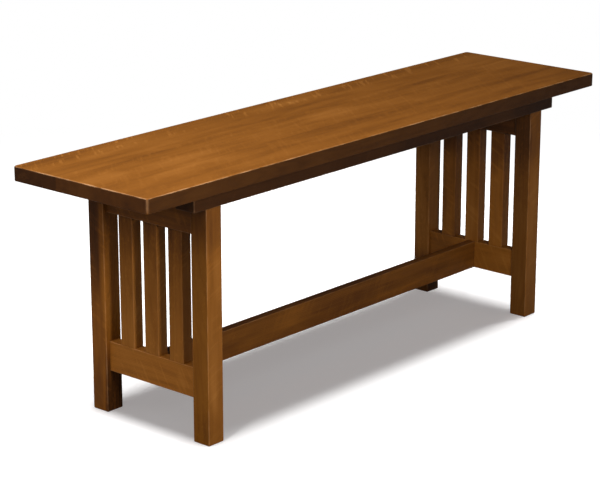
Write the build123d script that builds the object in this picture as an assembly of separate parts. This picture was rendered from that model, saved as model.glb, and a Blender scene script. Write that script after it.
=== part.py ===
from build123d import *
import os

os.makedirs("parts", exist_ok=True)

# A backless trestle bench: a plank top on two slatted end panels and one stretcher.
# All sizes are in millimetres. The origin is on the floor under the middle of the top,
# X runs along the bench, Y across it with the front at -Y, and Z is up.

# Whole bench
bench_length = 1219.2
bench_width = 309.0
bench_height = 457.2

# Top: boards glued edge to edge with loose splines in the joints
board_names = ["front", "middle", "back"]
top_thickness = 25.4
top_end_overhang = 147.8
top_side_overhang = 17.2
top_corner_round = 7.0
top_edge_round = 3.0
top_lower_round = 1.2
spline_thickness = 6.0
spline_width = 16.0
spline_end_margin = 45.0

# Rails that lie flat on the legs, under the long edges of the top
long_rail_height = 25.4
long_rail_proud = 2.7
long_rail_end_reach = 30.3
long_rail_round = 1.2

# Cross cleats between the long rails
cleat_names = ["left", "middle", "right"]
cleat_width = 34.0
cleat_tenon_length = 7.0
cleat_tenon_thickness = 12.0
cleat_tenon_shoulder = 5.0

# Legs
leg_side = 35.5
leg_edge_round = 1.8
foot_chamfer = 1.2
leg_tenon_side = 18.0
leg_tenon_length = 15.0

# Rails of the end panels
panel_rail_thickness = 21.5
panel_rail_set_back = 8.0
panel_rail_round = 0.9
top_rail_height = 51.0
lower_rail_height = 53.0
lower_rail_lift = 74.0
rail_tenon_thickness = 9.0
rail_tenon_length = 22.0
rail_tenon_shoulder = 7.0

# Slats of the end panels
slat_names = ["front", "middle", "back"]
slat_width = 31.5
slat_gap = 26.0
slat_thickness = 21.5
slat_round = 0.9
slat_tenon_thickness = 9.0
slat_tenon_length = 10.0
slat_tenon_shoulder = 4.0

# Stretcher
stretcher_thickness = 17.5
stretcher_round = 1.2
stretcher_tenon_thickness = 8.0
stretcher_tenon_length = 11.0
stretcher_tenon_shoulder = 8.0
wall_under_slat_tenon = 3.0

# Wood screws that hold the top from below
screw_shank_radius = 2.1
screw_head_radius = 4.2
screw_head_height = 2.6
screw_head_round = 1.2
screw_grip = 13.0
screw_point_length = 4.0
screw_tip_radius = 0.35
screw_recess_width = 1.1
screw_recess_span = 4.6
screw_recess_depth = 1.4
pocket_depth = 8.0
slotted_hole_length = 7.0
long_rail_screw_count = 5
screw_to_leg = 30.0

# Clearances
joint_clearance = 0.1
tenon_end_space = 1.0
pocket_clearance = 0.8
shank_clearance = 0.2
thread_clearance = 0.05
cut_overrun = 1.0

# Places worked out from the sizes above
top_underside = bench_height - top_thickness
leg_height = top_underside - long_rail_height
leg_outer_x = bench_length / 2 - top_end_overhang
leg_outer_y = bench_width / 2 - top_side_overhang
leg_x = leg_outer_x - leg_side / 2
leg_y = leg_outer_y - leg_side / 2
leg_inner_x = leg_outer_x - leg_side
leg_inner_y = leg_outer_y - leg_side
board_width = bench_width / len(board_names)
long_rail_width = leg_side + 2 * long_rail_proud
long_rail_inner_y = leg_y - long_rail_width / 2
long_rail_end_x = leg_outer_x + long_rail_end_reach
panel_face_x = leg_outer_x - panel_rail_set_back
panel_rail_x = panel_face_x - panel_rail_thickness / 2
panel_inner_x = panel_face_x - panel_rail_thickness
slat_x = panel_face_x - slat_thickness / 2
lower_rail_top = lower_rail_lift + lower_rail_height
top_rail_bottom = leg_height - top_rail_height
slat_depth_in_rail = slat_tenon_length + tenon_end_space
stretcher_tenon_top = lower_rail_top - slat_depth_in_rail - wall_under_slat_tenon
stretcher_tenon_bottom = lower_rail_lift + stretcher_tenon_shoulder
pocket_floor = leg_height + pocket_depth
screw_length = long_rail_height - pocket_depth + screw_grip
screw_reach = leg_inner_x - screw_to_leg
long_screw_pitch = 2 * screw_reach / (long_rail_screw_count - 1)
long_screw_x = [long_screw_pitch * k - screw_reach for k in range(long_rail_screw_count)]
cleat_screw_y = (board_width / 2 + spline_width / 2 + long_rail_inner_y) / 2
cleat_x = {"left": -leg_x, "middle": 0, "right": leg_x}
cleat_screw_places = [(x, y) for x in cleat_x.values() for y in (-cleat_screw_y, 0, cleat_screw_y)]
rail_screw_places = {
    "front": [(x, -leg_y) for x in long_screw_x],
    "back": [(x, leg_y) for x in long_screw_x],
}


def block(*spans):
    """A box from three spans, each a pair of ends in any order."""
    low = [min(span) for span in spans]
    size = [max(span) - min(span) for span in spans]
    return Pos(*low) * Box(*size, align=(Align.MIN, Align.MIN, Align.MIN))


def around(middle, width, extra=0):
    """The span of one width about a middle, grown by an extra at both ends."""
    return (middle - width / 2 - extra, middle + width / 2 + extra)


def upright_cylinder(place, radius, bottom, top):
    """A cylinder that stands between two heights."""
    return Pos(place[0], place[1], bottom) * Cylinder(
        radius, top - bottom, align=(Align.CENTER, Align.CENTER, Align.MIN)
    )


def eased(body, axis, radius):
    """Rounds the four long edges of a bar that runs along an axis."""
    return fillet(body.edges().filter_by(axis), radius)


def screw_hole_in_top(place):
    """The pilot hole of one screw, up into the top."""
    depth = top_underside + screw_grip + tenon_end_space
    return upright_cylinder(place, screw_shank_radius + thread_clearance, top_underside - cut_overrun, depth)


def screw_pocket(place, slotted):
    """The round pocket and shank hole of one screw, slotted across where the top has to move."""
    pocket = upright_cylinder(
        place, screw_head_radius + pocket_clearance, leg_height - cut_overrun, pocket_floor
    )
    hole_radius = screw_shank_radius + shank_clearance
    if not slotted:
        return pocket + upright_cylinder(place, hole_radius, pocket_floor, top_underside + cut_overrun)
    slot = Rot(0, 0, 90) * SlotOverall(slotted_hole_length, 2 * hole_radius)
    shank = extrude(Pos(place[0], place[1], pocket_floor) * slot, top_underside + cut_overrun - pocket_floor)
    return pocket + shank


def screw(place):
    """A pan-head wood screw, point up, seated on its pocket's floor, with a crossed recess."""
    point_bottom = pocket_floor + screw_length - screw_point_length
    head_bottom = pocket_floor - screw_head_height
    head = upright_cylinder(place, screw_head_radius, head_bottom, pocket_floor)
    head = fillet(head.edges().sort_by(Axis.Z)[0], screw_head_round)
    shank = upright_cylinder(place, screw_shank_radius, pocket_floor, point_bottom)
    point = Pos(place[0], place[1], point_bottom) * Cone(
        screw_shank_radius, screw_tip_radius, screw_point_length,
        align=(Align.CENTER, Align.CENTER, Align.MIN),
    )
    body = head + shank + point
    recess_span = (head_bottom, head_bottom + screw_recess_depth)
    body -= block(around(place[0], screw_recess_span), around(place[1], screw_recess_width), recess_span)
    body -= block(around(place[0], screw_recess_width), around(place[1], screw_recess_span), recess_span)
    return body


def top_board(index):
    """One board of the top, with grooves for the splines and pilot holes for the screws."""
    front_y = index * board_width - bench_width / 2
    back_y = front_y + board_width
    body = block((-bench_length / 2, bench_length / 2), (front_y, back_y), (top_underside, bench_height))
    joints = [y for y in (front_y, back_y) if abs(y) < bench_width / 2 - spline_width]

    def free(edge):
        return all(abs(edge.center().Y - y) > spline_width / 2 for y in joints)

    corners = [edge for edge in body.edges().filter_by(Axis.Z) if free(edge)]
    if corners:
        body = fillet(corners, top_corner_round)
    upper = [edge for edge in body.faces().sort_by(Axis.Z)[-1].edges() if free(edge)]
    body = fillet(upper, top_edge_round)
    lower = [edge for edge in body.faces().sort_by(Axis.Z)[0].edges() if free(edge)]
    body = fillet(lower, top_lower_round)
    for y in joints:
        body -= block(
            around(0, bench_length - 2 * spline_end_margin, tenon_end_space),
            around(y, spline_width, tenon_end_space),
            around(top_underside + top_thickness / 2, spline_thickness, joint_clearance),
        )
    for place in rail_screw_places["front"] + rail_screw_places["back"] + cleat_screw_places:
        if front_y < place[1] < back_y:
            body -= screw_hole_in_top(place)
    return body


def top_spline(joint_y):
    """The loose tongue in one edge joint of the top."""
    return block(
        around(0, bench_length - 2 * spline_end_margin),
        around(joint_y, spline_width),
        around(top_underside + top_thickness / 2, spline_thickness),
    )


def leg_head_tenon(x, y, extra, depth):
    """The stub tenon on a leg's head, or with an extra and its own depth, the mortise for it."""
    return block(
        around(x, leg_tenon_side, extra),
        around(y, leg_tenon_side, extra),
        (leg_height - extra, leg_height + depth),
    )


def cleat_tenon(x, side, extra, depth):
    """The tenon on one end of a cleat, or the mortise for it."""
    return block(
        around(x, cleat_width - 2 * cleat_tenon_shoulder, extra),
        (side * (long_rail_inner_y - extra), side * (long_rail_inner_y + depth)),
        around(leg_height + long_rail_height / 2, cleat_tenon_thickness, extra),
    )


def long_rail(name, side):
    """A flat rail under one long edge of the top, seated on the two legs of that side."""
    body = block(
        (-long_rail_end_x, long_rail_end_x),
        around(side * leg_y, long_rail_width),
        (leg_height, top_underside),
    )
    ends = body.edges().filter_by(Axis.Z)
    below = body.faces().sort_by(Axis.Z)[0].edges()
    body = fillet(ends + below, long_rail_round)
    for x in (-leg_x, leg_x):
        body -= leg_head_tenon(x, side * leg_y, joint_clearance, leg_tenon_length + tenon_end_space)
    for x in cleat_x.values():
        body -= cleat_tenon(x, side, joint_clearance, cleat_tenon_length + tenon_end_space)
    for place in rail_screw_places[name]:
        body -= screw_pocket(place, slotted=True)
    return body


def cleat(name):
    """A cross piece between the long rails, screwed to all three boards of the top."""
    x = cleat_x[name]
    body = block(
        around(x, cleat_width), (-long_rail_inner_y, long_rail_inner_y), (leg_height, top_underside)
    )
    below = body.faces().sort_by(Axis.Z)[0].edges().filter_by(Axis.Y)
    body = fillet(below, long_rail_round)
    for side in (-1, 1):
        body += cleat_tenon(x, side, 0, cleat_tenon_length)
    for place in cleat_screw_places:
        if place[0] == x:
            body -= screw_pocket(place, slotted=False)
    return body


def rail_tenon(x_side, y_side, bottom, top, extra, depth):
    """The tenon on one end of a panel rail, or the mortise for it in the leg."""
    return block(
        around(x_side * panel_rail_x, rail_tenon_thickness, extra),
        (y_side * (leg_inner_y - extra), y_side * (leg_inner_y + depth)),
        (bottom + rail_tenon_shoulder - extra, top - rail_tenon_shoulder + extra),
    )


def leg(x_side, y_side):
    """A square leg with mortises for both panel rails and a stub tenon on its head."""
    body = block(around(x_side * leg_x, leg_side), around(y_side * leg_y, leg_side), (0, leg_height))
    body = eased(body, Axis.Z, leg_edge_round)
    body = chamfer(body.faces().sort_by(Axis.Z)[0].edges(), foot_chamfer)
    body += leg_head_tenon(x_side * leg_x, y_side * leg_y, 0, leg_tenon_length)
    for bottom, top in ((lower_rail_lift, lower_rail_top), (top_rail_bottom, leg_height)):
        body -= rail_tenon(
            x_side, y_side, bottom, top, joint_clearance, rail_tenon_length + tenon_end_space
        )
    return body


def slat_y(index):
    """The middle of one slat across the bench."""
    return (index - (len(slat_names) - 1) / 2) * (slat_width + slat_gap)


def slat_tenon(x_side, index, shoulder, way, extra, depth):
    """The tenon on one end of a slat, going up or down from a shoulder, or the mortise for it."""
    return block(
        around(x_side * slat_x, slat_tenon_thickness, extra),
        around(slat_y(index), slat_width - 2 * slat_tenon_shoulder, extra),
        (shoulder - way * extra, shoulder + way * depth),
    )


def panel_rail(x_side, bottom, top, slat_shoulder, way):
    """A rail of an end panel, between the front and back legs, mortised for the slats."""
    body = block(
        around(x_side * panel_rail_x, panel_rail_thickness), (-leg_inner_y, leg_inner_y), (bottom, top)
    )
    body = eased(body, Axis.Y, panel_rail_round)
    for y_side in (-1, 1):
        body += rail_tenon(x_side, y_side, bottom, top, 0, rail_tenon_length)
    for index in range(len(slat_names)):
        body -= slat_tenon(x_side, index, slat_shoulder, way, joint_clearance, slat_depth_in_rail)
    return body


def stretcher_tenon(x_side, extra, depth):
    """The tenon on one end of the stretcher, or the mortise for it in a lower rail."""
    return block(
        (x_side * (panel_inner_x - extra), x_side * (panel_inner_x + depth)),
        around(0, stretcher_tenon_thickness, extra),
        (stretcher_tenon_bottom - extra, stretcher_tenon_top + extra),
    )


def lower_rail(x_side):
    """The lower rail of an end panel, which also takes the end of the stretcher."""
    body = panel_rail(x_side, lower_rail_lift, lower_rail_top, lower_rail_top, -1)
    return body - stretcher_tenon(x_side, joint_clearance, stretcher_tenon_length + tenon_end_space)


def slat(x_side, index):
    """An upright slat, flush with the outer face of the rails, with a stub tenon at each end."""
    body = block(
        around(x_side * slat_x, slat_thickness),
        around(slat_y(index), slat_width),
        (lower_rail_top, top_rail_bottom),
    )
    body = eased(body, Axis.Z, slat_round)
    body += slat_tenon(x_side, index, lower_rail_top, -1, 0, slat_tenon_length)
    body += slat_tenon(x_side, index, top_rail_bottom, 1, 0, slat_tenon_length)
    return body


def stretcher():
    """The board on edge between the lower rails, level with them."""
    body = block(
        (-panel_inner_x, panel_inner_x), around(0, stretcher_thickness), (lower_rail_lift, lower_rail_top)
    )
    body = eased(body, Axis.X, stretcher_round)
    for x_side in (-1, 1):
        body += stretcher_tenon(x_side, 0, stretcher_tenon_length)
    return body


# Every piece under its own name
pieces = {"stretcher": stretcher()}
for index, name in enumerate(board_names):
    pieces[f"top_board_{name}"] = top_board(index)
for name, side in (("front", -1), ("back", 1)):
    pieces[f"top_spline_{name}"] = top_spline(side * board_width / 2)
    pieces[f"{name}_long_rail"] = long_rail(name, side)
    pieces[f"{name}_rail_screws"] = Compound([screw(place) for place in rail_screw_places[name]])
for name in cleat_names:
    pieces[f"{name}_cleat"] = cleat(name)
pieces["cleat_screws"] = Compound([screw(place) for place in cleat_screw_places])
for end, x_side in (("left", -1), ("right", 1)):
    pieces[f"{end}_front_leg"] = leg(x_side, -1)
    pieces[f"{end}_back_leg"] = leg(x_side, 1)
    pieces[f"{end}_top_rail"] = panel_rail(x_side, top_rail_bottom, leg_height, top_rail_bottom, 1)
    pieces[f"{end}_lower_rail"] = lower_rail(x_side)
    for index, name in enumerate(slat_names):
        pieces[f"{end}_slat_{name}"] = slat(x_side, index)

for name, piece in pieces.items():
    export_step(piece, f"parts/{name}.step")
    print(name, round(piece.volume), piece.is_valid)
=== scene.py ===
"""The looks of a trestle bench: fumed and stained oak, zinc screws, a pale studio and its camera."""

import math
from collections import namedtuple

import bpy
import numpy as np
from bpy.props import FloatProperty, FloatVectorProperty, PointerProperty
from bpy.types import Operator, Panel, PropertyGroup
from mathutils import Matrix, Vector


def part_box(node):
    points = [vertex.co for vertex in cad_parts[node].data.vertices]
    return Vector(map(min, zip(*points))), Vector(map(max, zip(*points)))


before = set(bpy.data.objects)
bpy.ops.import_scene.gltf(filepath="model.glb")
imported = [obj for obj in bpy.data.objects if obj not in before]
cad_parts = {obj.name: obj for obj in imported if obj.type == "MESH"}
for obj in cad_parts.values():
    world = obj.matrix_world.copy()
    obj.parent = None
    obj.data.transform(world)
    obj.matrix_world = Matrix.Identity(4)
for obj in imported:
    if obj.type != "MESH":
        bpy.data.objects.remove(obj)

bl_info = {
    "name": "Trestle Bench Looks",
    "version": (1, 0, 0),
    "blender": (4, 5, 0),
    "location": "View3D > Sidebar > Bench",
    "description": "Finishes a packed trestle bench in stained oak and sets up a studio round it",
    "category": "Object",
}

MILLIMETRE = 0.001
AXES = "xyz"
PANEL_ENDS = ("left", "right")
SIDES = ("front", "back")
BOARDS = ("front", "middle", "back")

# How a piece was sawn: the axes that its grain, its growth rings and its rays follow, and how far
# off its middle the heart of the tree was, along the other two.
Cut = namedtuple("Cut", "grain across through heart_across heart_through")

# What sets a piece of wood apart from its neighbours, with what holds where nothing is said.
TRAITS = {
    # How much lighter it is, and what its colour is multiplied by: a stain all over, one on edges,
    # which on some sticks is painted shade, and one on ends
    "tone": 0.0, "stain": None, "edge_stain": None, "end_stain": None,
    # Rubbed stain and a painted highlight along its arrises, the places through it where that starts
    # and is full, if it isn't all over, and a painted highlight with some rubbing on its rounded
    # upright corners
    "wear": 0.25, "worn_from": None, "corner_wear": 0.0,
    # Strength of its ray flecks, the places across it where they start and are full, and their slant
    "flecks": 0.6, "flecks_from": None, "lean": 0.55,
    # The seed of its mottle, if pieces share it, where the shoulders of its joints are, and its soft
    # patches: patterns in the grain and painted shade
    "blotches": None, "shoulders": None, "figures": (),
}

# One piece of wood: its node, its cut, the box whose arrises show, and its traits.
Stick = namedtuple("Stick", ["node", "cut", "low", "high", *TRAITS], defaults=tuple(TRAITS.values()))

# A soft lighter or darker patch, given one by one. On the top boards these are patterns in the grain;
# on the legs, slats and rails many are painted shade. Its middle and its reach, along and across the
# stick, and how much lighter it is.
Figure = namedtuple("Figure", "along across length width amount")

# How far a spot spreads to cover a whole stick, and how far its edges wander.
WHOLE = 10.0
SPOT_WANDER = {"along": 0.1, "across": 0.02}

# How far the end of a box is pushed out where a joint hides it.
HIDDEN = 0.05

# The wood's layers of noise: the sizes of their features in metres, along, across and through the
# grain, and a shift, so that no two layers agree.
LAYERS = {
    "slow": ((0.55, 0.11, 0.11), 0.0),
    "quick": ((0.09, 0.016, 0.016), 3.1),
    "fibre": ((0.085, 0.0014, 0.0014), 5.7),
    "streaks": ((0.30, 0.012, 0.012), 8.3),
    "mottle": ((0.11, 0.021, 0.021), 9.9),
    "patches": ((0.26, 0.055, 0.055), 11.9),
    "pores": ((0.0075, 0.00042, 0.00042), 14.2),
    "rays": ((0.0075, 0.055, 0.0035), 17.5),
    "stands": ((0.12, 0.022, 0.05), 21.1),
    "rubbing": ((0.045, 0.045, 0.045), 27.4),
}

# The noise at which a layer's pores, rays or stands of rays start to show, and show in full.
SHOWN = {"pores": (0.60, 0.72), "rays": (0.545, 0.655), "stands": (0.35, 0.51)}

# How far apart the seeds of two neighbours are.
SEED_STEP = 37.7

# How far the rings wander from true circles, in metres, over long and short ways up the log, and
# how far the rays do.
RING_WANDER = {"slow": 0.034, "quick": 0.0035}
RAY_WANDER = 0.006

# How fast the noise of single years and of runs of years goes by, per ring.
YEARLY = 0.31
SLOWLY = 0.055

# How far through a year early wood starts and is full, then how far through it is gone, and how
# far through it was still full.
EARLY_COMES = (0.0, 0.16)
EARLY_FADES = (0.62, 0.2)

# How strongly pores show in late wood, and how much more strongly in early wood.
LATE_PORES = 0.3
MORE_PORES = 0.7

# How much each part of the wood's grain and markings lightens it, roughens its finish, and stands up
# from it.
LIGHTENS = {
    "decades": 0.09, "seasons": 0.08, "streaks": 0.10, "mottle": 0.34, "patches": 0.24,
    "fibre": 0.16, "early": -0.05, "pores": -0.16, "flecks": 0.26, "shoulder": -0.08,
}
ROUGHENS = {
    "patches": 0.12, "pores": 0.16, "early": 0.04, "flecks": -0.07, "wear": -0.06, "end_face": 0.12,
}
RAISES = {"fibre": 0.35, "pores": -1.1, "early": -0.25, "flecks": 0.12, "quick": 0.5}

# The tone that each colour of the oak stands at, from 0 to 1.
TONES = {"pore": 0.0, "dark": 0.24, "body": 0.5, "light": 0.82, "ray": 1.0}

# How squarely a face looks along an axis where it starts to count as an end or an edge, and where
# it counts in full.
SQUARE_ON = (0.55, 0.9)

# How near an arris its rubbed stain and painted highlight are full, how far that wanders, and how far
# they lighten the wood.
FULLY_WORN_AND_LIT = 0.3 * MILLIMETRE
WEAR_AND_HIGHLIGHT_WANDER = 2.5 * MILLIMETRE
BARED_AND_LIT = 0.62

# The noise at which rubbing and the painted highlight are least and at which they are full, and how
# much of them the least leaves.
RUBBED_AND_LIT = (0.3, 0.62)
LEAST_RUBBED_AND_LIT = {"arris": 0.35, "corner": 0.6}

# Where the painted highlight, with some rubbing, on a rounded upright corner starts and is full: by
# the two sides' distances, added up, along the bench, so only towards the left end, and through the
# top.
CORNER_WORN_AND_LIT = (5.0 * MILLIMETRE, 4.1 * MILLIMETRE)
CORNER_WORN_AND_LIT_ALONG = (0.3, -0.3)
CORNER_WORN_AND_LIT_THROUGH = (-0.014, -0.003)

# How near a shoulder stain starts to pool, and where there is most of it.
POOLED = (4.5 * MILLIMETRE, 0.2 * MILLIMETRE)

# How strongly the relief of the oak and of the zinc bends light.
OAK_RELIEF = 0.55
ZINC_RELIEF = 0.25

# The zinc's patches and turning marks: the sizes of their features in metres, and a seed for each.
ZINC_PATCHES = ((0.0022, 0.0022, 0.0022), 4.0)
ZINC_MARKS = ((0.0007, 0.0007, 0.00012), 9.0)

# The noise between which zinc goes dull, how much less metallic and how much rougher it then is,
# how much the marks roughen it, and how deep they are.
ZINC_DULLS = (0.38, 0.66)
DULL_METAL = 0.12
DULL_ROUGHNESS = 0.2
MARKS_ROUGHNESS = 0.1
MARKS_DEPTH = 0.05 * MILLIMETRE

# The floor: its turns, its rings up to the flat part's edge and beyond it, the radius of the first,
# how rough its paint is, and how far from the bench it starts to look white and is all white.
FLOOR_TURNS = 96
FLOOR_RINGS = (12, 14)
FLOOR_FIRST_RING = 0.5
FLOOR_ROUGHNESS = 0.2
FLOOR_FADES = (0.9, 1.9)

# Where the lamp above hangs, along and across.
ABOVE = (-0.5, 0.0)

# Where the lamps that draw the floor's shadow hang: how far along and across, and how soft.
SHADOW_LAMPS_ALONG = {"left": (-1.248, 0.85), "right": (1.283, 1.2)}
SHADOW_LAMPS_ACROSS = {"front": -0.258, "back": 0.203}

# What the lamps and the camera are turned to.
LEFT_HALF = Vector((-0.3, 0.0, 0.3))
LEFT_END = Vector((-0.42, 0.0, 0.3))
LEFT_TOP = Vector((-0.3, 0.0, 0.4))
MIDST = Vector((-0.07857, 0.0, 0.22411))

# The way in which the surroundings are brightest, and how strong they are at their brightest and
# at their weakest, as shares of their strength. SKY_FROM is the cosine of the angle off that way
# where they are weakest, and where they are brightest.
BRIGHTEST = Vector((-0.62, -0.75, 0.25)).normalized()
SKY_MOST = 2.2
SKY_LEAST = 0.25
SKY_FROM = (-0.6, 1.0)

# The width of the camera's film, in millimetres.
FILM_WIDTH = 36.0


def colour_property(name, description, default):
    """A colour, as light and not as a display value, for the sidebar."""
    return FloatVectorProperty(
        name=name, description=description, default=default, subtype="COLOR", size=3, min=0.0, max=1.0
    )


class OakLook(PropertyGroup):
    """Colours and sizes of the oak and its stain."""

    pore: colour_property("Pores", "Stain that gathered in open pores", (0.030, 0.0095, 0.0022))
    dark: colour_property("Dark grain", "Early wood, which takes more stain", (0.118, 0.038, 0.0062))
    body: colour_property("Body", "The colour of most of the wood", (0.250, 0.087, 0.0115))
    light: colour_property("Light grain", "Late wood, which takes less stain", (0.372, 0.142, 0.026))
    ray: colour_property("Rays", "Rays that lie in a face, which stain least", (0.50, 0.215, 0.046))
    # Pale, greyish tan: stain rubbed thin, and a painted highlight, on the arrises
    worn: colour_property("Worn arris", "Wood where the stain is rubbed thin", (0.640, 0.360, 0.180))
    ring_width: FloatProperty(
        name="Ring width", description="Mean width of one year's growth", default=2.4 * MILLIMETRE,
        unit="LENGTH", min=0.5 * MILLIMETRE, max=8 * MILLIMETRE, precision=4,
    )
    wear_and_highlight_width: FloatProperty(
        name="Wear width", description="How far wear reaches from an arris", default=1.9 * MILLIMETRE,
        unit="LENGTH", min=0.0, max=10 * MILLIMETRE, precision=4,
    )
    # How strong the rubbed arrises and their painted highlight are
    wear: FloatProperty(
        name="Wear", description="How much stain is rubbed off the arrises", default=1.0,
        subtype="FACTOR", min=0.0, max=2.0,
    )
    flecks: FloatProperty(
        name="Ray flecks", description="Strength of the ray flecks", default=1.0,
        subtype="FACTOR", min=0.0, max=2.0,
    )
    roughness: FloatProperty(
        name="Roughness", description="Roughness of the satin finish", default=0.46,
        subtype="FACTOR", min=0.05, max=1.0,
    )
    gloss: FloatProperty(
        name="Gloss", description="Specular level of the finish", default=0.13,
        subtype="FACTOR", min=0.0, max=1.0,
    )
    relief: FloatProperty(
        name="Relief", description="Depth of the grain that the finish leaves",
        default=0.12 * MILLIMETRE, unit="LENGTH", min=0.0, max=1 * MILLIMETRE, precision=5,
    )


class ScrewLook(PropertyGroup):
    """Finish of the wood screws."""

    zinc: colour_property("Zinc", "Bright zinc plate", (0.62, 0.60, 0.55))
    dull: colour_property("Dull zinc", "Zinc that has gone dull", (0.34, 0.33, 0.31))
    roughness: FloatProperty(
        name="Roughness", description="Roughness of the plate", default=0.34,
        subtype="FACTOR", min=0.05, max=1.0,
    )


class StudioLook(PropertyGroup):
    """Floor, lamps, surroundings and camera."""

    floor_colour: colour_property("Floor", "The floor as it gives light back", (0.08, 0.08, 0.08))
    floor_seen: colour_property("Floor seen", "The floor's colour to the camera", (0.80, 0.80, 0.80))
    floor_glow: colour_property("Floor glow", "The floor in full shadow", (0.288, 0.272, 0.270))
    floor_in_gloss: FloatProperty(
        name="Floor in gloss", description="How much of that lightness a glossy finish mirrors",
        default=0.12, subtype="FACTOR", min=0.0, max=1.0,
    )
    floor_flat: FloatProperty(
        name="Flat floor", description="Radius of the floor's flat part", default=6.0, unit="LENGTH",
    )
    floor_edge: FloatProperty(
        name="Floor edge", description="Radius at the raised edge", default=11.0, unit="LENGTH",
    )
    floor_rise: FloatProperty(
        name="Floor rise", description="Height of the raised edge", default=1.5, unit="LENGTH",
    )
    shadow_power: FloatProperty(
        name="Shadow lamps", description="Power of each of the four lamps that draw the shadow",
        default=40.0, unit="POWER",
    )
    shadow_height: FloatProperty(
        name="Shadow lamp height", description="Height of those lamps", default=2.4, unit="LENGTH",
    )
    shadow_size: FloatProperty(
        name="Shadow lamp size", description="Width of those lamps", default=0.235, unit="LENGTH",
    )
    front_power: FloatProperty(
        name="Front lamp", description="Power of the soft lamp in front", default=11.5, unit="POWER",
    )
    front_size: FloatProperty(
        name="Front lamp size", description="Width of the lamp in front", default=0.35, unit="LENGTH",
    )
    front_distance: FloatProperty(
        name="Front lamp distance", description="From the lamp in front to the bench's left end",
        default=1.4, unit="LENGTH",
    )
    corner_power: FloatProperty(
        name="Corner lamp", description="Power of the soft lamp off the near corner", default=17.0,
        unit="POWER",
    )
    left_power: FloatProperty(
        name="Left lamp", description="Power of the lamp high on the left", default=24.0,
        unit="POWER",
    )
    above_power: FloatProperty(
        name="Lamp above", description="Power of the lamp above the left half", default=17.0,
        unit="POWER",
    )
    lamp_size: FloatProperty(
        name="Lamp size", description="Width of the other soft lamps", default=0.8, unit="LENGTH",
    )
    lamp_distance: FloatProperty(
        name="Lamp distance", description="From those lamps to the bench", default=2.2, unit="LENGTH",
    )
    sky_strength: FloatProperty(
        name="Surroundings", description="Light from all around", default=0.12, min=0.0, max=4.0,
    )
    focal_length: FloatProperty(
        name="Focal length", description="Lens of the camera, in millimetres", default=129.122,
        min=10.0,
    )
    azimuth: FloatProperty(
        name="Azimuth", description="How far left of the front the camera stands",
        default=math.radians(48.746), subtype="ANGLE",
    )
    elevation: FloatProperty(
        name="Elevation", description="How far above the level the camera stands",
        default=math.radians(16.866), subtype="ANGLE",
    )
    distance: FloatProperty(
        name="Distance", description="From the camera to what it looks at", default=3.84054,
        unit="LENGTH",
    )


class Signal:
    """A socket of a node tree. An operator on it adds a Math node, so a formula reads as one."""

    def __init__(self, net, socket):
        self.net = net
        self.socket = socket

    def math(self, operation, *others):
        """One Math node, with this socket as its first value."""
        values = {index: value for index, value in enumerate((self, *others))}
        return self.net.add("ShaderNodeMath", {"operation": operation}, values)

    def __add__(self, other):
        return self.math("ADD", other)

    __radd__ = __add__

    def __sub__(self, other):
        return self.math("SUBTRACT", other)

    def __rsub__(self, other):
        return self.net.add("ShaderNodeMath", {"operation": "SUBTRACT"}, {0: other, 1: self})

    def __mul__(self, other):
        return self.math("MULTIPLY", other)

    __rmul__ = __mul__

    def __truediv__(self, other):
        return self.math("DIVIDE", other)

    def __pow__(self, other):
        return self.math("POWER", other)

    def __abs__(self):
        return self.math("ABSOLUTE")

    def least(self, other):
        """The smaller of two values."""
        return self.math("MINIMUM", other)

    def most(self, other):
        """The larger of two values."""
        return self.math("MAXIMUM", other)

    def rise(self, start, end, low=0.0, high=1.0):
        """Goes smoothly from low to high while this value goes from start to end."""
        spans = {"Value": self, "From Min": start, "From Max": end, "To Min": low, "To Max": high}
        return self.net.add("ShaderNodeMapRange", {"interpolation_type": "SMOOTHSTEP"}, spans)

    def also(self, output):
        """Another output of the same node."""
        return Signal(self.net, self.socket.node.outputs[output])


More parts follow.
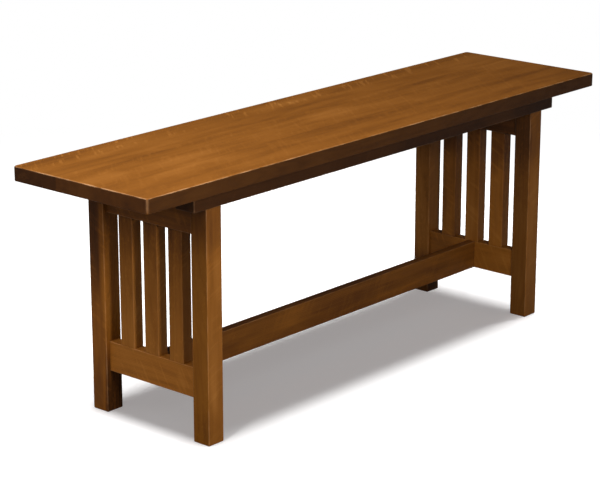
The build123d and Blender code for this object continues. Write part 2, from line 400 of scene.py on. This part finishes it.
class Net:
    """The nodes of one material, or of the world."""

    def __init__(self, owner):
        self.owner = owner
        self.owner.use_nodes = True
        self.tree = self.owner.node_tree
        self.tree.nodes.clear()

    def add(self, kind, settings=None, sockets=None, output=0):
        """Adds a node, makes its settings, then gives its sockets their values or links."""
        node = self.tree.nodes.new(kind)
        for name, value in (settings or {}).items():
            if name == "stops":
                set_stops(node.color_ramp, value)
            else:
                setattr(node, name, value)
        for key, value in (sockets or {}).items():
            if isinstance(value, Signal):
                self.tree.links.new(value.socket, node.inputs[key])
            else:
                node.inputs[key].default_value = value
        return Signal(self, node.outputs[output]) if len(node.outputs) else None

    def place(self):
        """Where a point is on the object, in metres."""
        return self.add("ShaderNodeTexCoord", output="Object")

    def split(self, vector):
        """The three parts of a vector."""
        first = self.add("ShaderNodeSeparateXYZ", {}, {"Vector": vector})
        return first, first.also("Y"), first.also("Z")

    def vector(self, *parts):
        """A vector from three parts."""
        return self.add("ShaderNodeCombineXYZ", {}, dict(enumerate(parts)))

    def noise(self, vector, sizes, shift, detail=2.0, roughness=0.5, distortion=0.0):
        """Noise from 0 to 1 whose features have these sizes, in metres, along the vector's parts."""
        scaled = self.add(
            "ShaderNodeMapping", {},
            {"Vector": vector, "Location": (shift, 1.7 * shift, -0.6 * shift),
             "Scale": [1 / size for size in sizes]},
        )
        return self.add(
            "ShaderNodeTexNoise", {"noise_dimensions": "3D"},
            {"Vector": scaled, "Scale": 1.0, "Detail": detail, "Roughness": roughness,
             "Distortion": distortion},
        )

    def years(self, value, shift):
        """Noise from 0 to 1 along one number, for what changes from ring to ring."""
        return self.add(
            "ShaderNodeTexNoise", {"noise_dimensions": "1D"},
            {"W": value + shift, "Scale": 1.0, "Detail": 1.0},
        )

    def mix(self, factor, first, second, blend="MIX"):
        """Mixes two colours."""
        return self.add(
            "ShaderNodeMix", {"data_type": "RGBA", "blend_type": blend},
            {0: factor, 6: first, 7: second}, output=2,
        )

    def finish(self, shader, output="ShaderNodeOutputMaterial"):
        """Links the shader to an output, and gives back the material or the world."""
        self.add(output, {}, {"Surface": shader})
        return self.owner


def set_stops(ramp, stops):
    """Gives a colour ramp its places and colours."""
    while len(ramp.elements) > 1:
        ramp.elements.remove(ramp.elements[-1])
    for index, (place, colour) in enumerate(stops):
        element = ramp.elements[0] if index == 0 else ramp.elements.new(place)
        element.position = place
        element.color = opaque(colour)


def opaque(colour):
    """A colour with full alpha."""
    return (*colour, 1.0)


def new_net(name):
    """The nodes of a new material."""
    return Net(bpy.data.materials.new(name))


def middle_of(low, high, axis):
    """The middle of a box along one axis."""
    index = AXES.index(axis)
    return (low[index] + high[index]) / 2


def blend(parts, shares):
    """The sum of the parts that have a share, each times its share."""
    return sum(parts[name] * share for name, share in shares.items() if name in parts)


def oak(stick, look, seed):
    """Stained oak for one stick, sawn from a tree of its own.

    The tree's rings are cylinders round its heart: a point's ring is its distance from the heart's
    line, with slow and quick wander, over the ring width. Rays are thin sheets that run out from
    the heart, and pores are short tubes along the grain. So each face and end shows what its cut
    would show.
    """
    net = new_net(f"oak_{stick.node}")
    cut = stick.cut
    place = net.place()
    by_axis = dict(zip(AXES, net.split(place)))
    along, across, through = (
        by_axis[axis] - middle_of(stick.low, stick.high, axis) for axis in cut[:3]
    )
    log = net.vector(along, across, through)

    def layer(name, where, first=seed, **traits):
        """One layer of noise, or what shows of it where it only shows in part."""
        sizes, shift = LAYERS[name]
        noise = net.noise(where, sizes, first + shift, **traits)
        return noise.rise(*SHOWN[name]) if name in SHOWN else noise

    # Growth rings
    slow = layer("slow", log, detail=1.0)
    quick = layer("quick", log)
    out = (across + cut.heart_across) ** 2 + (through + cut.heart_through) ** 2
    radius = out ** 0.5 + (slow - 0.5) * RING_WANDER["slow"] + (quick - 0.5) * RING_WANDER["quick"]
    ring = radius / look.ring_width
    year = ring.math("FRACT")
    early = year.rise(*EARLY_COMES) * year.rise(*EARLY_FADES)
    seasons = net.years(ring * YEARLY, seed * 2.3)
    decades = net.years(ring * SLOWLY, seed * 1.3)

    # Fibre, pores, rays, and how the stain took
    fibre = layer("fibre", log, detail=2.5, roughness=0.6)
    streaks = layer("streaks", log)
    taken = net.vector(*(by_axis[axis] for axis in cut[:3]))
    blotches = stick.blotches or seed
    mottle = layer("mottle", taken, blotches, distortion=0.4)
    patches = layer("patches", taken, blotches)
    pores = layer("pores", log, detail=1.0) * (LATE_PORES + MORE_PORES * early)
    leaning = net.vector(
        along - across * stick.lean + (quick - 0.5) * RAY_WANDER, across, through
    )
    rays = layer("rays", leaning, detail=1.0, distortion=0.15)
    stands = layer("stands", log, detail=1.0)
    flecks = rays * stands * (stick.flecks * look.flecks)
    if stick.flecks_from:
        flecks = flecks * across.rise(*stick.flecks_from)

    # Faces: sawn ends and edges drink more stain than the planed faces
    normal = net.add("ShaderNodeTexCoord", output="Normal")
    facing = dict(zip(AXES, (abs(part) for part in net.split(normal))))
    end_face = facing[cut.grain].rise(*SQUARE_ON)
    edge_face = facing[cut.across].rise(*SQUARE_ON)

    wear = worn(stick, look, layer("rubbing", place, detail=3.0, roughness=0.65), by_axis, through)
    parts = {
        "decades": decades - 0.5, "seasons": seasons - 0.5, "streaks": streaks - 0.5,
        "mottle": mottle - 0.5, "patches": patches - 0.5, "fibre": fibre - 0.5,
        "quick": quick - 0.5, "early": early, "pores": pores, "flecks": flecks,
        "end_face": end_face, "wear": wear,
    }
    if stick.shoulders:
        low, high = stick.shoulders
        end_distance = (high - low) / 2 - abs(by_axis[cut.grain] - (low + high) / 2)
        parts["shoulder"] = end_distance.rise(*POOLED)

    tone = 0.5 + stick.tone + blend(parts, LIGHTENS)
    # Soft patches: patterns in the grain, and painted shade on some sticks
    for spot in stick.figures:
        to_middle = along - spot.along + parts["patches"] * SPOT_WANDER["along"]
        to_side = across - spot.across + (slow - 0.5) * SPOT_WANDER["across"]
        spread = (to_middle / spot.length) ** 2 + (to_side / spot.width) ** 2
        tone = tone + spread.rise(1.0, 0.0) * spot.amount
    wood = net.add(
        "ShaderNodeValToRGB", {"stops": [(at, getattr(look, name)) for name, at in TONES.items()]},
        {"Fac": tone},
    )
    # Multiplies the colour: all over, on edges (stain on the top boards, painted shade on legs, slats
    # and stretcher), and on ends
    for share, stain in (
        (1.0, stick.stain), (edge_face, stick.edge_stain), (end_face, stick.end_stain)
    ):
        if stain:
            wood = net.mix(share, wood, opaque(stain), blend="MULTIPLY")
    relief = net.add(
        "ShaderNodeBump", {},
        {"Strength": OAK_RELIEF, "Distance": look.relief, "Height": blend(parts, RAISES)},
    )
    # The arrises take a pale colour: rubbed stain and a painted highlight
    shader = net.add(
        "ShaderNodeBsdfPrincipled", {},
        {"Base Color": net.mix(wear * BARED_AND_LIT, wood, opaque(look.worn)),
         "Roughness": look.roughness + blend(parts, ROUGHENS),
         "Specular IOR Level": look.gloss, "Normal": relief},
    )
    return net.finish(shader)


def worn(stick, look, rubbing, by_axis, through):
    """How rubbed and highlit a stick is at a point: rubbed stain and a painted highlight along its
    arrises.

    This follows the distance to the nearest arris, which is the middle one of the distances to the
    faces of the stick's box. On a rounded upright corner a painted highlight, with some rubbing,
    follows the sum of the distances to the two sides, towards the left end and the top. Both are
    broken up by the same noise.
    """
    inside = [
        (high - low) / 2 - abs(by_axis[axis] - (low + high) / 2)
        for axis, low, high in zip(AXES, stick.low, stick.high)
    ]
    nearest_arris = inside[0].least(inside[1]).most(inside[0].most(inside[1]).least(inside[2]))
    # Rubbed stain and a painted highlight near the arrises, broken up by noise
    wear = (nearest_arris + (0.5 - rubbing) * WEAR_AND_HIGHLIGHT_WANDER).rise(look.wear_and_highlight_width, FULLY_WORN_AND_LIT)
    wear = wear * rubbing.rise(*RUBBED_AND_LIT, LEAST_RUBBED_AND_LIT["arris"], 1.0) * (stick.wear * look.wear)
    if stick.worn_from:
        wear = wear * through.rise(*stick.worn_from)
    # A painted highlight, with some rubbing, on the rounded upright corners towards the left end
    if stick.corner_wear:
        rounded = (inside[0] + inside[1]).rise(*CORNER_WORN_AND_LIT)
        rounded = rounded * by_axis["x"].rise(*CORNER_WORN_AND_LIT_ALONG)
        handled = rubbing.rise(*RUBBED_AND_LIT, LEAST_RUBBED_AND_LIT["corner"], 1.0)
        handled = handled * through.rise(*CORNER_WORN_AND_LIT_THROUGH)
        wear = wear.most(rounded * handled * stick.corner_wear)
    return wear


def zinc_plate(look):
    """Zinc plate, dulled in patches, with faint turning marks."""
    net = new_net("zinc_plate")
    place = net.place()
    patches = net.noise(place, *ZINC_PATCHES, detail=3.0)
    marks = net.noise(place, *ZINC_MARKS, detail=1.0)
    dull = patches.rise(*ZINC_DULLS)
    colour = net.mix(dull, opaque(look.zinc), opaque(look.dull))
    relief = net.add(
        "ShaderNodeBump", {},
        {"Strength": ZINC_RELIEF, "Distance": MARKS_DEPTH, "Height": marks},
    )
    roughness = look.roughness + dull * DULL_ROUGHNESS + (marks - 0.5) * MARKS_ROUGHNESS
    shader = net.add(
        "ShaderNodeBsdfPrincipled", {},
        {"Base Color": colour, "Metallic": 1.0 - dull * DULL_METAL, "Roughness": roughness,
         "Normal": relief},
    )
    return net.finish(shader)


def finish_node(node, material):
    """Puts a material in every slot of a node."""
    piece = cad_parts[node]
    for slot in piece.material_slots:
        slot.material = material


def stretched(node, open_low=(), open_high=()):
    """A node's box, pushed out past its joints, where no arris shows."""
    low, high = (Vector(corner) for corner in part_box(node))
    for axis in open_low:
        low[AXES.index(axis)] -= HIDDEN
    for axis in open_high:
        high[AXES.index(axis)] += HIDDEN
    return low, high


def stick_for(node, cut, box, **traits):
    """One stick, with a box whose open sides are already pushed out."""
    return Stick(node, cut, *box, **traits)


def finish_sticks(context, sticks, first_seed):
    """Gives each stick oak of its own."""
    look = context.scene.bench_oak
    for index, stick in enumerate(sticks):
        finish_node(stick.node, oak(stick, look, first_seed + SEED_STEP * index))


class BENCH_OT_top_boards(Operator):
    """Finishes the three boards of the top"""

    bl_idname = "bench.top_boards"
    bl_label = "Top Boards"

    def execute(self, context):
        open_sides = {"front": ((), "y"), "middle": ("y", "y"), "back": ("y", ())}
        tones = {"front": 0.0, "middle": 0.035, "back": 0.01}
        end_stains = {
            "front": (0.22, 0.195, 0.19), "middle": (0.22, 0.20, 0.21), "back": (0.145, 0.13, 0.14),
        }
        flecks = {"front": 0.2, "middle": 0.25, "back": 0.95}
        zones = {"front": None, "middle": None, "back": (0.016, 0.042)}
        hearts = {"front": 0.19, "middle": -0.16, "back": 0.23}
        figures = {
            "front": (
                Figure(-0.05, 0.03, 0.30, 0.020, -0.06),
                Figure(0.11, 0.003, 0.22, 0.022, -0.08),
                Figure(-0.42, 0.003, 0.13, 0.030, 0.09),
                Figure(-0.58, -0.047, 0.09, 0.030, -0.08),
            ),
            "middle": (
                Figure(0.0, 0.044, 0.13, 0.022, -0.11),
                Figure(0.40, 0.044, 0.18, 0.022, -0.09),
                Figure(-0.38, 0.034, 0.13, 0.020, -0.05),
                Figure(0.02, 0.004, 0.10, 0.026, 0.13),
                Figure(-0.58, -0.015, 0.07, 0.035, 0.14),
                Figure(-0.42, -0.022, 0.18, 0.022, 0.10),
                Figure(0.0, 0.030, 0.09, 0.022, 0.10),
                Figure(0.56, 0.025, 0.13, 0.030, 0.12),
            ),
            "back": (
                Figure(0.0, -0.055, 0.13, 0.022, -0.09),
                Figure(0.40, -0.055, 0.18, 0.022, -0.08),
                Figure(-0.24, -0.027, 0.22, 0.009, 0.07),
                Figure(0.36, -0.027, 0.18, 0.009, 0.08),
                Figure(0.0, 0.040, 0.12, 0.030, 0.08),
                Figure(0.56, 0.010, 0.14, 0.060, 0.09),
                Figure(-0.40, 0.020, 0.13, 0.050, 0.08),
                Figure(-0.58, 0.047, 0.10, 0.030, -0.08),
            ),
        }
        sticks = []
        for name in BOARDS:
            node = f"top_board_{name}"
            cut = Cut("x", "y", "z", hearts[name], 0.012)
            # The upper arrises are rubbed and carry a painted highlight, and so do the left end's
            # upright corners
            sticks.append(stick_for(
                node, cut, stretched(node, *open_sides[name]), tone=tones[name],
                edge_stain=(0.27, 0.26, 0.29), end_stain=end_stains[name], wear=1.0,
                worn_from=(-0.0115, -0.006), flecks=flecks[name], flecks_from=zones[name], lean=0.73,
                blotches=11.0, figures=figures[name], corner_wear=0.25,
            ))
        finish_sticks(context, sticks, 11.0)
        return {"FINISHED"}


class BENCH_OT_long_rails(Operator):
    """Finishes the two flat rails under the top"""

    bl_idname = "bench.long_rails"
    bl_label = "Long Rails"

    def execute(self, context):
        pale = {"front": 0.22, "back": 0.0}
        # The rails are darker all over, partly their own stain and partly painted shade under the
        # top, and darker towards the right end, which is painted shade. The front rail has a short
        # lighter band near its right end.
        sticks = [
            stick_for(
                f"{side}_long_rail", Cut("x", "z", "y", 0.14, 0.02),
                stretched(f"{side}_long_rail", "", "z"), stain=(0.185, 0.17, 0.20), flecks=0.3,
                figures=(
                    Figure(0.25, 0.0, 0.5, WHOLE, -0.13), Figure(0.33, 0.0, 0.06, WHOLE, pale[side]),
                ),
            )
            for side in SIDES
        ]
        finish_sticks(context, sticks, 211.0)
        return {"FINISHED"}


class BENCH_OT_cleats(Operator):
    """Finishes the three cross cleats under the top"""

    bl_idname = "bench.cleats"
    bl_label = "Cleats"

    def execute(self, context):
        rail_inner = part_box("back_long_rail")[0].y
        sticks = [
            stick_for(
                f"{name}_cleat", Cut("y", "z", "x", 0.12, 0.01),
                stretched(f"{name}_cleat", "y", "yz"), stain=(0.4, 0.42, 0.6),
                shoulders=(-rail_inner, rail_inner),
            )
            for name in ("left", "middle", "right")
        ]
        finish_sticks(context, sticks, 311.0)
        return {"FINISHED"}


class BENCH_OT_legs(Operator):
    """Finishes the four legs"""

    bl_idname = "bench.legs"
    bl_label = "Legs"

    def execute(self, context):
        tones = {"left_front": 0.09, "left_back": -0.07, "right_front": 0.05, "right_back": 0.02}
        stains = {"left_back": (0.90, 0.87, 0.72), "right_back": (0.80, 0.80, 0.84)}
        # Painted shade: the sides of the front legs and of the right back leg are darker
        painted_side_shade = {
            "left_front": (0.62, 0.59, 0.35), "right_front": (0.51, 0.51, 0.54),
            "right_back": (0.94, 0.96, 0.96),
        }
        cuts = {"left_back": Cut("z", "y", "x", 0.11, 0.03)}
        foot = -0.228
        # The patches over the whole width at 0.18 paint the shade under the top, and the dark patches
        # at the foot paint the shade near the floor. On the right front leg the dark band on its left
        # side is painted shade too. The rest are lighter and darker streaks.
        figures = {
            "left_front": (
                Figure(0.18, 0.0, 0.10, WHOLE, -0.26), Figure(0.08, -0.006, 0.13, 0.006, -0.10),
                Figure(-0.13, 0.002, 0.08, 0.012, 0.13), Figure(foot, 0.0, 0.05, WHOLE, -0.07),
            ),
            "left_back": (
                Figure(0.18, 0.0, 0.25, WHOLE, -0.24), Figure(foot, -0.018, 0.13, 0.012, -0.33),
                Figure(0.04, -0.018, 0.18, 0.013, 0.24), Figure(foot, 0.008, 0.11, 0.024, -0.09),
                Figure(0.06, 0.008, 0.12, 0.024, -0.12),
            ),
            "right_front": (
                Figure(0.18, 0.0, 0.15, WHOLE, -0.18), Figure(foot, 0.0, 0.07, WHOLE, -0.04),
                Figure(0.10, -0.018, 0.14, 0.009, -0.12), Figure(-0.03, 0.004, 0.15, 0.02, 0.09),
            ),
            "right_back": (
                Figure(0.18, 0.0, 0.15, WHOLE, -0.20), Figure(foot, 0.0, 0.11, WHOLE, -0.32),
            ),
        }
        sticks = [
            stick_for(
                f"{place}_leg", cuts.get(place, Cut("z", "x", "y", 0.11, 0.03)),
                stretched(f"{place}_leg", "", "z"), tone=tone, stain=stains.get(place),
                edge_stain=painted_side_shade.get(place), end_stain=(0.5, 0.5, 0.6), wear=0.28,
                flecks=0.3, figures=figures[place],
            )
            for place, tone in tones.items()
        ]
        finish_sticks(context, sticks, 411.0)
        return {"FINISHED"}


class BENCH_OT_panel_rails(Operator):
    """Finishes the upper and lower rails of both end panels"""

    bl_idname = "bench.panel_rails"
    bl_label = "Panel Rails"

    def execute(self, context):
        leg_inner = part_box("left_back_leg")[0].y
        # A darker patch near the back end of the right lower rail
        figures = {("right", "lower"): (Figure(0.085, 0.0, 0.06, WHOLE, -0.12),)}
        sticks = [
            stick_for(
                f"{end}_{level}_rail", Cut("y", "z", "x", heart, 0.015),
                stretched(f"{end}_{level}_rail", "y", "y"), tone=tone, flecks=0.35,
                shoulders=(-leg_inner, leg_inner), figures=figures.get((end, level), ()),
            )
            # The top rails are darker than the lower ones, the right one more: painted shade under
            # the top
            for end, level, tone, heart in (
                ("left", "top", -0.24, 0.15), ("left", "lower", 0.03, 0.2),
                ("right", "top", -0.36, 0.15), ("right", "lower", 0.03, 0.2),
            )
        ]
        finish_sticks(context, sticks, 611.0)
        return {"FINISHED"}


class BENCH_OT_slats(Operator):
    """Finishes the slats of both end panels"""

    bl_idname = "bench.slats"
    bl_label = "Slats"

    def execute(self, context):
        bottom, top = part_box("left_lower_rail")[1].z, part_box("left_top_rail")[0].z
        # The right panel's slats are darker than the left's: painted shade
        tones = {
            "left": {"front": 0.10, "middle": 0.12, "back": 0.11},
            "right": {"front": -0.01, "middle": 0.0, "back": -0.07},
        }
        # Painted light: the slats are lighter towards the bottom
        painted_foot_light = {"left": 0.11, "right": 0.05}
        cuts = {"left": Cut("z", "x", "y", 0.13, 0.02), "right": Cut("z", "y", "x", 0.13, 0.02)}
        # Painted shade on one pair of faces: the left slats' sides, the right slats' fronts and backs
        painted_edge_shade = {"left": (0.69, 0.66, 0.54), "right": (0.8, 0.78, 0.85)}
        sticks = [
            stick_for(
                f"{end}_slat_{name}", cuts[end],
                stretched(f"{end}_slat_{name}", "z", "z"), tone=tones[end][name],
                edge_stain=painted_edge_shade[end], wear=0.1, flecks=0.35, shoulders=(bottom, top),
                # Darker towards the top, under the top's overhang, which is painted shade, and
                # lighter towards the bottom
                figures=(
                    Figure(0.13, 0.0, 0.10, WHOLE, -0.24), Figure(-0.13, 0.0, 0.12, WHOLE, painted_foot_light[end]),
                ),
            )
            for end in PANEL_ENDS
            for name in BOARDS
        ]
        finish_sticks(context, sticks, 811.0)
        return {"FINISHED"}


class BENCH_OT_stretcher(Operator):
    """Finishes the stretcher"""

    bl_idname = "bench.stretcher"
    bl_label = "Stretcher"

    def execute(self, context):
        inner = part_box("right_lower_rail")[0].x
        # Painted shade: the stretcher is darker on its top and bottom faces and towards its middle
        stick = stick_for(
            "stretcher", Cut("x", "z", "y", 0.17, 0.02), stretched("stretcher", "x", "x"),
            tone=-0.13, edge_stain=(0.72, 0.70, 0.85), flecks=0.15, shoulders=(-inner, inner),
            figures=(Figure(0.03, 0.0, 0.12, WHOLE, -0.10),),
        )
        finish_sticks(context, [stick], 911.0)
        return {"FINISHED"}


class BENCH_OT_splines(Operator):
    """Finishes the loose tongues in the joints of the top"""

    bl_idname = "bench.splines"
    bl_label = "Splines"

    def execute(self, context):
        sticks = [
            stick_for(
                f"top_spline_{side}", Cut("x", "y", "z", 0.1, 0.01), stretched(f"top_spline_{side}"),
                tone=0.2, flecks=0.2,
            )
            for side in SIDES
        ]
        finish_sticks(context, sticks, 1011.0)
        return {"FINISHED"}


class BENCH_OT_screws(Operator):
    """Finishes the wood screws that hold the top"""

    bl_idname = "bench.screws"
    bl_label = "Screws"

    def execute(self, context):
        plate = zinc_plate(context.scene.bench_screws)
        for node in ("front_rail_screws", "back_rail_screws", "cleat_screws"):
            finish_node(node, plate)
        return {"FINISHED"}


def surface_of_revolution(name, radii, heights, turns):
    """A dish round Z: the point at profile step i and turn j is (r cos a, r sin a, h)."""
    angles = np.linspace(0.0, 2 * math.pi, turns, endpoint=False)
    radius, angle = np.meshgrid(radii, angles, indexing="ij")
    height = np.repeat(heights[:, None], turns, axis=1)
    points = np.stack([radius * np.cos(angle), radius * np.sin(angle), height], axis=-1)
    step, turn = np.meshgrid(np.arange(len(radii) - 1), np.arange(turns), indexing="ij")
    after = (turn + 1) % turns
    faces = np.stack(
        [step * turns + turn, (step + 1) * turns + turn, (step + 1) * turns + after,
         step * turns + after],
        axis=-1,
    )
    mesh = bpy.data.meshes.new(name)
    mesh.from_pydata(points.reshape(-1, 3).tolist(), [], faces.reshape(-1, 4).tolist())
    mesh.polygons.foreach_set("use_smooth", np.ones(len(mesh.polygons), dtype=bool))
    mesh.update()
    piece = bpy.data.objects.new(name, mesh)
    bpy.context.scene.collection.objects.link(piece)
    return piece


def floor_paint(studio):
    """Pale matt paint.

    It looks lighter than it lights, fades to white far off, and from below it is clear.
    """
    net = new_net("pale_floor")
    rays = net.add("ShaderNodeLightPath", output="Is Camera Ray")
    seen = rays.most(rays.also("Is Transmission Ray"))
    seen = seen.most(rays.also("Is Glossy Ray") * studio.floor_in_gloss)
    place = net.place()
    x, y, _ = net.split(place)
    far = ((x ** 2 + y ** 2) ** 0.5).rise(*FLOOR_FADES)
    colour = net.mix(seen, opaque(studio.floor_colour), opaque(studio.floor_seen))
    matt = net.add("ShaderNodeBsdfDiffuse", {}, {"Color": colour, "Roughness": FLOOR_ROUGHNESS})
    glow = net.add("ShaderNodeEmission", {}, {"Color": opaque(studio.floor_glow), "Strength": 1.0})
    glowing = net.add("ShaderNodeAddShader", {}, {0: matt, 1: glow})
    near = net.add("ShaderNodeMixShader", {}, {0: seen, 1: matt, 2: glowing})
    white = net.add("ShaderNodeEmission", {}, {"Color": (1.0, 1.0, 1.0, 1.0), "Strength": 1.0})
    lit = net.add("ShaderNodeMixShader", {}, {0: far * seen, 1: near, 2: white})
    clear = net.add("ShaderNodeBsdfTransparent")
    below = net.add("ShaderNodeNewGeometry", output="Backfacing")
    return net.finish(net.add("ShaderNodeMixShader", {}, {0: below, 1: lit, 2: clear}))


def soft_lamp(name, place, aim, power, size, lights):
    """A square lamp at a place, turned towards an aim, for the objects of one collection."""
    data = bpy.data.lights.new(name, "AREA")
    data.energy = power
    data.shape = "SQUARE"
    data.size = size
    lamp = bpy.data.objects.new(name, data)
    lamp.location = place
    lamp.rotation_euler = (Vector(aim) - Vector(place)).to_track_quat("-Z", "Y").to_euler()
    bpy.context.scene.collection.objects.link(lamp)
    lamp.light_linking.receiver_collection = lights


def lit_group(name, pieces):
    """A collection of what a lamp lights."""
    group = bpy.data.collections.new(name)
    bpy.context.scene.collection.children.link(group)
    for piece in pieces:
        group.objects.link(piece)
    return group


def way_to(azimuth, elevation):
    """The direction that stands so far left of the front, and so far above the level."""
    return Vector((
        -math.sin(azimuth) * math.cos(elevation), -math.cos(azimuth) * math.cos(elevation),
        math.sin(elevation),
    ))


def lay_floor(studio):
    """A flat floor whose far edge rises a little, so that it fills a level view."""
    flat, edge, rise = studio.floor_flat, studio.floor_edge, studio.floor_rise
    inner, outer = FLOOR_RINGS
    radii = np.concatenate([
        [0.0], np.linspace(FLOOR_FIRST_RING, flat, inner), np.linspace(flat, edge, outer)[1:]
    ])
    heights = rise * np.clip((radii - flat) / (edge - flat), 0.0, 1.0) ** 2
    floor = surface_of_revolution("studio_floor", radii, heights, FLOOR_TURNS)
    floor.data.materials.append(floor_paint(studio))
    return floor


def hang_lamps(studio, floor):
    """Four soft lamps for the bench, and four high up that draw its shadow on the floor."""
    bench = lit_group("lit_bench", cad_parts.values())
    ground = lit_group("lit_floor", [floor])
    for name, aim, azimuth, elevation, distance, power, size in (
        ("front", LEFT_END, 10, 24, studio.front_distance, studio.front_power, studio.front_size),
        ("corner", LEFT_HALF, 72, 22, studio.lamp_distance, studio.corner_power, studio.lamp_size),
        ("left", LEFT_HALF, 100, 50, studio.lamp_distance, studio.left_power, studio.lamp_size),
    ):
        way = way_to(math.radians(azimuth), math.radians(elevation))
        soft_lamp(name, aim + way * distance, aim, power, size, bench)
    soft_lamp(
        "above", (*ABOVE, studio.lamp_distance), LEFT_TOP, studio.above_power, studio.lamp_size, bench
    )
    for end, (x, softness) in SHADOW_LAMPS_ALONG.items():
        for side, y in SHADOW_LAMPS_ACROSS.items():
            soft_lamp(
                f"shadow_{end}_{side}", (x, y, studio.shadow_height), (x / 2, 0.0, 0.0),
                studio.shadow_power, studio.shadow_size * softness, ground,
            )


def surround(studio):
    """Soft light from all around, stronger from the front and the left, and weak from behind."""
    net = Net(bpy.data.worlds.new("studio"))
    way = net.add("ShaderNodeTexCoord", output="Generated")
    facing = net.add(
        "ShaderNodeVectorMath", {"operation": "DOT_PRODUCT"}, {0: way, 1: BRIGHTEST}, output="Value"
    )
    least, most = SKY_LEAST * studio.sky_strength, SKY_MOST * studio.sky_strength
    strength = facing.rise(*SKY_FROM, least, most)
    light = net.add("ShaderNodeBackground", {}, {"Strength": strength})
    bpy.context.scene.world = net.finish(light, "ShaderNodeOutputWorld")


def stand_camera(studio):
    """The camera in front of the bench and to its left, looking a little down."""
    back = way_to(studio.azimuth, studio.elevation)
    data = bpy.data.cameras.new("camera")
    data.sensor_width = FILM_WIDTH
    data.lens = studio.focal_length
    camera = bpy.data.objects.new("camera", data)
    camera.location = MIDST + back * studio.distance
    camera.rotation_euler = (-back).to_track_quat("-Z", "Y").to_euler()
    bpy.context.scene.collection.objects.link(camera)
    bpy.context.scene.camera = camera


class BENCH_OT_studio(Operator):
    """Lays the floor, hangs the lamps and stands the camera"""

    bl_idname = "bench.studio"
    bl_label = "Studio"

    def execute(self, context):
        studio = context.scene.bench_studio
        hang_lamps(studio, lay_floor(studio))
        surround(studio)
        stand_camera(studio)
        context.scene.view_settings.view_transform = "Standard"
        return {"FINISHED"}


OPERATORS = (
    BENCH_OT_top_boards,
    BENCH_OT_long_rails,
    BENCH_OT_cleats,
    BENCH_OT_legs,
    BENCH_OT_panel_rails,
    BENCH_OT_slats,
    BENCH_OT_stretcher,
    BENCH_OT_splines,
    BENCH_OT_screws,
    BENCH_OT_studio,
)


class BENCH_PT_looks(Panel):
    """The bench's finishes and its studio"""

    bl_idname = "BENCH_PT_looks"
    bl_label = "Trestle Bench"
    bl_space_type = "VIEW_3D"
    bl_region_type = "UI"
    bl_category = "Bench"

    def draw(self, context):
        layout = self.layout
        for operator in OPERATORS:
            layout.operator(operator.bl_idname)
        scene = context.scene
        for group in (scene.bench_oak, scene.bench_screws, scene.bench_studio):
            box = layout.box()
            for name in group.__annotations__:
                box.prop(group, name)


CLASSES = (OakLook, ScrewLook, StudioLook, *OPERATORS, BENCH_PT_looks)


def register():
    for cls in CLASSES:
        bpy.utils.register_class(cls)
    bpy.types.Scene.bench_oak = PointerProperty(type=OakLook)
    bpy.types.Scene.bench_screws = PointerProperty(type=ScrewLook)
    bpy.types.Scene.bench_studio = PointerProperty(type=StudioLook)


def unregister():
    del bpy.types.Scene.bench_studio, bpy.types.Scene.bench_screws, bpy.types.Scene.bench_oak
    for cls in reversed(CLASSES):
        bpy.utils.unregister_class(cls)


def main():
    """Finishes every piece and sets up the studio."""
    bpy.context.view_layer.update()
    register()
    for operator in OPERATORS:
        group, name = operator.bl_idname.split(".")
        getattr(getattr(bpy.ops, group), name)()


if __name__ == "__main__":
    main()
